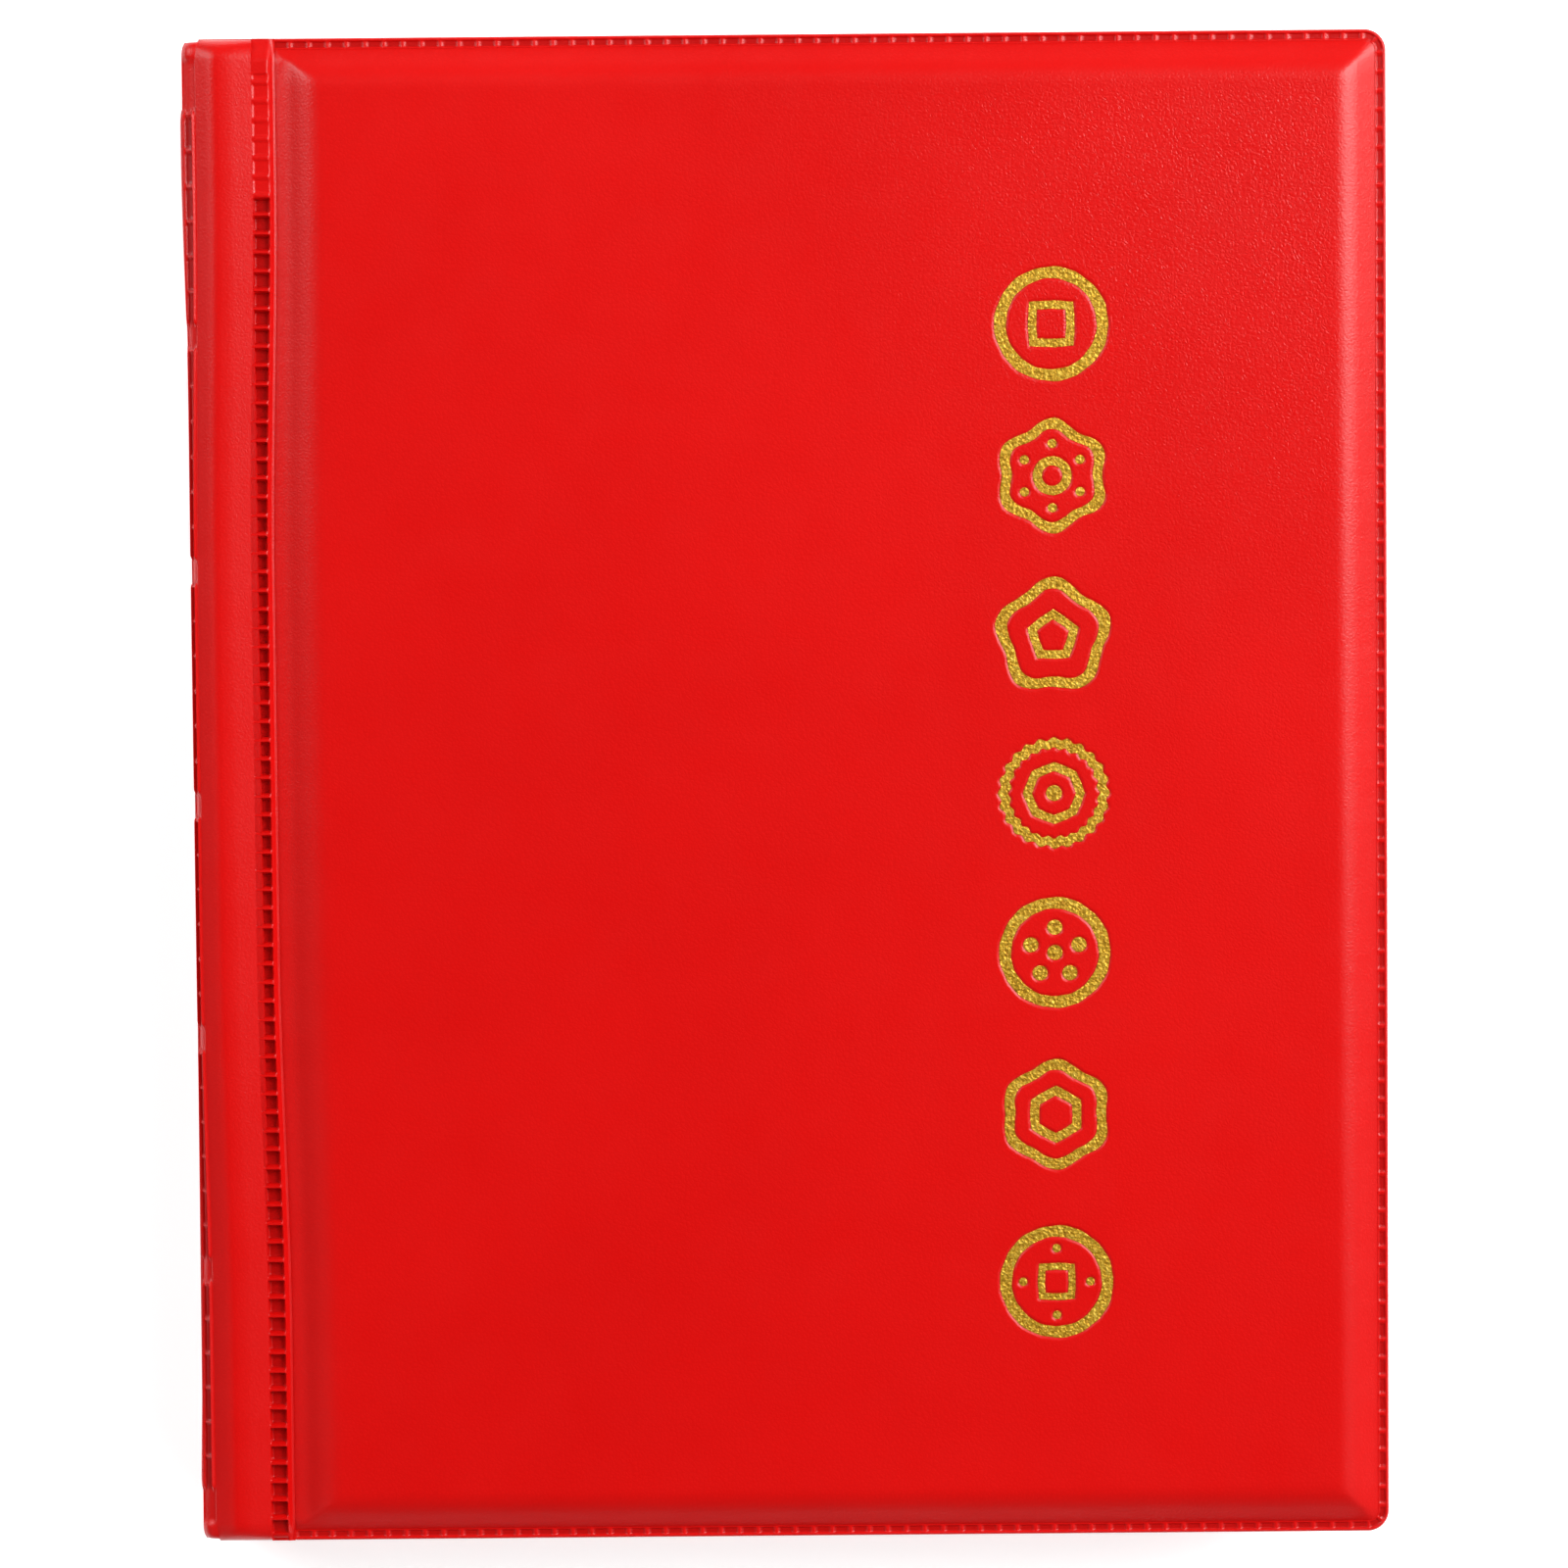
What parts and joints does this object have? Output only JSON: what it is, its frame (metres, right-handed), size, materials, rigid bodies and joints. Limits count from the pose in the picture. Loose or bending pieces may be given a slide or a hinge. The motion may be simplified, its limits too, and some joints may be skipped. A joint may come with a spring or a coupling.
{
  "type": "coin album",
  "caption": "Padded vinyl coin album with a welded hinge beside the spine, a ribbed spine, foil motifs on the cover and clear pocket pages that fan open.",
  "frame": {"origin": "under the middle of the shut album, on the surface that its back cover lies on", "axes": "+X from the spine to the fore edge, +Y from the tail to the head of the album, +Z from the back cover to the front cover"},
  "size_m": [0.199, 0.25, 0.026],
  "materials": {
    "red_vinyl": "fine pebbled, semi-gloss soft vinyl",
    "lining_vinyl": "smooth satin vinyl",
    "foam": "open-cell foam sheet",
    "greyboard": "grey board",
    "binding_vinyl": "milky flexible vinyl",
    "clear_vinyl": "clear flexible vinyl film",
    "gold_foil": "hot-stamped gold foil"
  },
  "bodies": {
    "back_cover": {"back_cover_board": "greyboard", "back_cover_foam": "foam", "back_cover_lining": "lining_vinyl", "back_cover_skin": "red_vinyl"},
    "back_strip": {"back_strip_board": "greyboard", "back_strip_foam": "foam", "back_strip_lining": "lining_vinyl", "back_strip_skin": "red_vinyl"},
    "front_cover": {"foil_motif_1": "gold_foil", "foil_motif_2": "gold_foil", "foil_motif_3": "gold_foil", "foil_motif_4": "gold_foil", "foil_motif_5": "gold_foil", "foil_motif_6": "gold_foil", "foil_motif_7": "gold_foil", "front_cover_board": "greyboard", "front_cover_foam": "foam", "front_cover_lining": "lining_vinyl", "front_cover_skin": "red_vinyl"},
    "front_strip": {"front_strip_board": "greyboard", "front_strip_foam": "foam", "front_strip_lining": "lining_vinyl", "front_strip_skin": "red_vinyl"},
    "page_01": {"page_01_backing": "clear_vinyl", "page_01_pockets": "clear_vinyl"},
    "page_02": {"page_02_backing": "clear_vinyl", "page_02_pockets": "clear_vinyl"},
    "page_03": {"page_03_backing": "clear_vinyl", "page_03_pockets": "clear_vinyl"},
    "page_04": {"page_04_backing": "clear_vinyl", "page_04_pockets": "clear_vinyl"},
    "page_05": {"page_05_backing": "clear_vinyl", "page_05_pockets": "clear_vinyl"},
    "page_06": {"page_06_backing": "clear_vinyl", "page_06_pockets": "clear_vinyl"},
    "page_07": {"page_07_backing": "clear_vinyl", "page_07_pockets": "clear_vinyl"},
    "page_08": {"page_08_backing": "clear_vinyl", "page_08_pockets": "clear_vinyl"},
    "page_09": {"page_09_backing": "clear_vinyl", "page_09_pockets": "clear_vinyl"},
    "page_10": {"page_10_backing": "clear_vinyl", "page_10_pockets": "clear_vinyl"},
    "spine": {"page_binding_strip": "binding_vinyl", "spine_board": "greyboard", "spine_foam_pads": "foam", "spine_lining": "lining_vinyl", "spine_skin": "red_vinyl"}
  },
  "joints": [
    {"name": "back_cover_hinge", "type": "hinge", "parent": "back_cover", "child": "back_strip", "pos_m": [-0.0855, 0, 0.0033], "axis": [0, -1, 0], "range_deg": [0, 90]},
    {"name": "spine_fold", "type": "hinge", "parent": "back_strip", "child": "spine", "pos_m": [-0.0987, 0, 0.0008], "axis": [0, 1, 0], "range_deg": [-90, 0]},
    {"name": "front_strip_fold", "type": "hinge", "parent": "spine", "child": "front_strip", "pos_m": [-0.0987, 0, 0.0252], "axis": [0, 1, 0], "range_deg": [-90, 0]},
    {"name": "front_cover_hinge", "type": "hinge", "parent": "front_strip", "child": "front_cover", "pos_m": [-0.0855, 0, 0.0227], "axis": [0, -1, 0], "range_deg": [0, 90]},
    {"name": "page_01_hinge", "type": "hinge", "parent": "spine", "child": "page_01", "pos_m": [-0.0943, 0, 0.00468], "axis": [0, 1, 0], "range_deg": [0, 76.5]},
    {"name": "page_02_hinge", "type": "hinge", "parent": "spine", "child": "page_02", "pos_m": [-0.0943, 0, 0.00641], "axis": [0, 1, 0], "range_deg": [0, 59.5]},
    {"name": "page_03_hinge", "type": "hinge", "parent": "spine", "child": "page_03", "pos_m": [-0.0943, 0, 0.00813], "axis": [0, 1, 0], "range_deg": [0, 42.5]},
    {"name": "page_04_hinge", "type": "hinge", "parent": "spine", "child": "page_04", "pos_m": [-0.0943, 0, 0.00984], "axis": [0, 1, 0], "range_deg": [0, 25.5]},
    {"name": "page_05_hinge", "type": "hinge", "parent": "spine", "child": "page_05", "pos_m": [-0.0943, 0, 0.01157], "axis": [0, 1, 0], "range_deg": [0, 8.5]},
    {"name": "page_06_hinge", "type": "hinge", "parent": "spine", "child": "page_06", "pos_m": [-0.0943, 0, 0.01328], "axis": [0, 1, 0], "range_deg": [-8.5, 0]},
    {"name": "page_07_hinge", "type": "hinge", "parent": "spine", "child": "page_07", "pos_m": [-0.0943, 0, 0.015], "axis": [0, 1, 0], "range_deg": [-25.5, 0]},
    {"name": "page_08_hinge", "type": "hinge", "parent": "spine", "child": "page_08", "pos_m": [-0.0943, 0, 0.01673], "axis": [0, 1, 0], "range_deg": [-42.5, 0]},
    {"name": "page_09_hinge", "type": "hinge", "parent": "spine", "child": "page_09", "pos_m": [-0.0943, 0, 0.01844], "axis": [0, 1, 0], "range_deg": [-59.5, 0]},
    {"name": "page_10_hinge", "type": "hinge", "parent": "spine", "child": "page_10", "pos_m": [-0.0943, 0, 0.02016], "axis": [0, 1, 0], "range_deg": [-76.5, 0]}
  ],
  "couplings": [
    {"joint": "front_strip_fold", "follows": "spine_fold", "ratio": 1},
    {"joint": "page_01_hinge", "follows": "spine_fold", "ratio": -0.85},
    {"joint": "page_02_hinge", "follows": "spine_fold", "ratio": -0.6611},
    {"joint": "page_03_hinge", "follows": "spine_fold", "ratio": -0.4722},
    {"joint": "page_04_hinge", "follows": "spine_fold", "ratio": -0.2833},
    {"joint": "page_05_hinge", "follows": "spine_fold", "ratio": -0.0944},
    {"joint": "page_06_hinge", "follows": "spine_fold", "ratio": 0.0944},
    {"joint": "page_07_hinge", "follows": "spine_fold", "ratio": 0.2833},
    {"joint": "page_08_hinge", "follows": "spine_fold", "ratio": 0.4722},
    {"joint": "page_09_hinge", "follows": "spine_fold", "ratio": 0.6611},
    {"joint": "page_10_hinge", "follows": "spine_fold", "ratio": 0.85}
  ]
}
